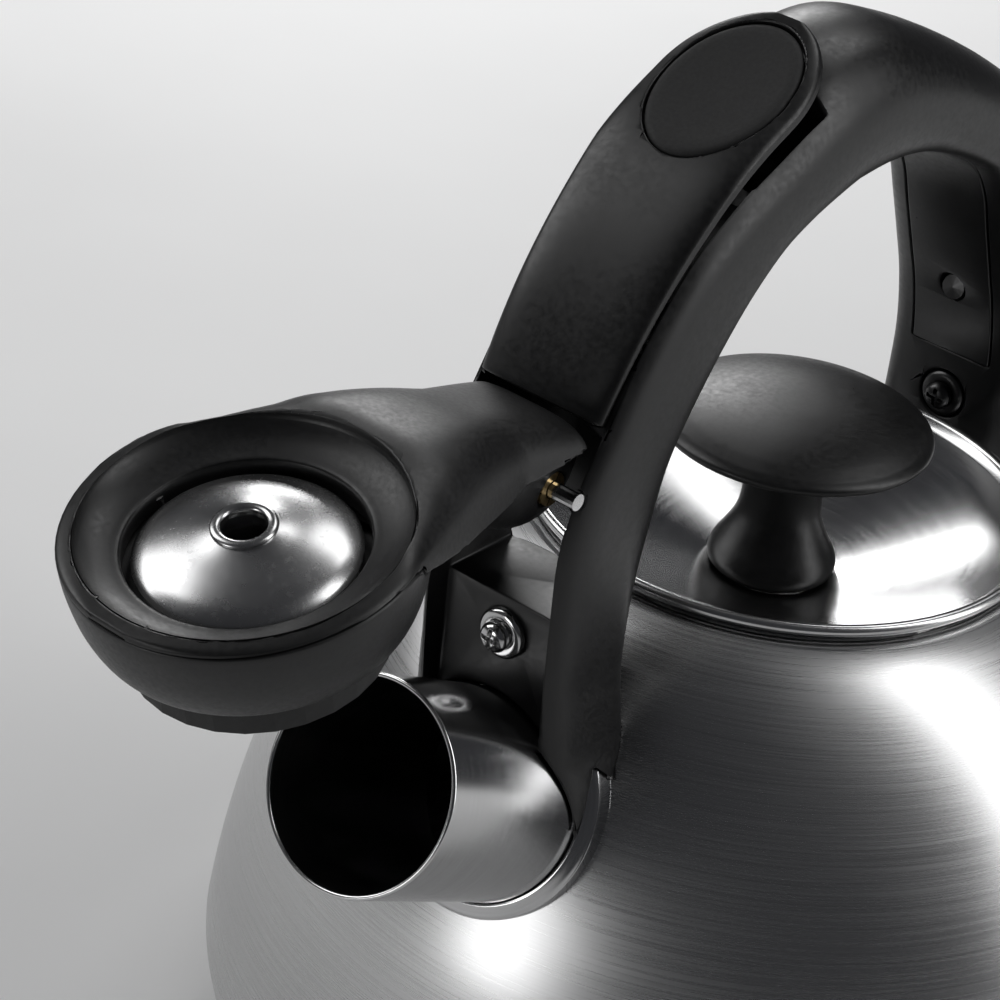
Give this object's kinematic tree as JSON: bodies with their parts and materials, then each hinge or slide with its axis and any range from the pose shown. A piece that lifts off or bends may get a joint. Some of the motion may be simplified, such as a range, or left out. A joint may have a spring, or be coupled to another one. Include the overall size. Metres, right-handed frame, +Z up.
{
  "type": "stovetop_whistling_kettle",
  "caption": "Stovetop whistling kettle: brushed steel body and lid, black arched handle with thumb button, whistle cap swung open over a straight spout",
  "frame": {"origin": "centre of the underside of the base, on the axis of the body", "axes": "+Z up, the spout towards -Y, +X to the right when the spout points at the viewer's left; the handle lies in the plane X = 0"},
  "size_m": [0.2062, 0.2791, 0.2331],
  "materials": {
    "brushed_steel": "satin, brushed in circles",
    "polished_steel": "polished",
    "aluminium": "plain",
    "black_plastic": "satin, fine grain",
    "soft_black": "matt",
    "grey_silicone": "matt",
    "brass": "plain"
  },
  "bodies": {
    "kettle": {"body_shell": "brushed_steel", "base_core": "aluminium", "base_pan": "polished_steel", "lid_seat_ring": "polished_steel", "spout_tube": "brushed_steel", "spout_collar": "brushed_steel", "front_bracket": "polished_steel", "front_screw": "polished_steel", "front_washer": "polished_steel", "rear_bracket": "polished_steel", "rear_screw": "polished_steel", "rear_washer": "polished_steel", "handle_shell": "black_plastic", "handle_inner_cover": "black_plastic", "strip_screw_1": "polished_steel", "strip_screw_2": "polished_steel", "strip_screw_3": "polished_steel", "front_cover": "black_plastic", "hinge_pin": "polished_steel", "rocker_pin": "polished_steel", "rocker_spring": "polished_steel"},
    "cap": {"cap_top": "black_plastic", "cap_bowl": "black_plastic", "whistle_disc": "polished_steel", "whistle_spacer": "polished_steel", "whistle_lower_disc": "polished_steel", "seal_carrier": "black_plastic", "spout_seal": "grey_silicone", "cap_screw_left": "polished_steel", "cap_screw_right": "polished_steel", "hinge_bush": "brass"},
    "button": {"thumb_button": "soft_black", "button_plunger": "black_plastic"},
    "rocker_lever": {"rocker": "black_plastic"},
    "lid": {"lid_dish": "brushed_steel", "lid_skirt": "polished_steel", "lid_gasket": "grey_silicone", "knob_stem": "black_plastic", "knob_head": "black_plastic", "knob_screw": "polished_steel", "knob_washer": "polished_steel"}
  },
  "joints": [
    {"name": "cap_swing", "type": "hinge", "parent": "kettle", "child": "cap", "pos_m": [0, -0.086, 0.168], "axis": [1, 0, 0], "range_deg": [0, 48.3]},
    {"name": "button_slide", "type": "slide", "parent": "kettle", "child": "button", "axis": [0, -0.4726, 0.8813], "range_m": [0, 0.0046]},
    {"name": "rocker_rock", "type": "hinge", "parent": "kettle", "child": "rocker_lever", "pos_m": [0, -0.0645, 0.189], "axis": [1, 0, 0], "range_deg": [0, 13.2]},
    {"name": "lid_lift", "type": "slide", "parent": "kettle", "child": "lid", "axis": [0, 0, 1], "range_m": [0, 0.025]}
  ],
  "couplings": [
    {"joint": "button_slide", "follows": "cap_swing", "m_per_rad": 0.0053},
    {"joint": "rocker_rock", "follows": "cap_swing", "ratio": 0.265}
  ]
}
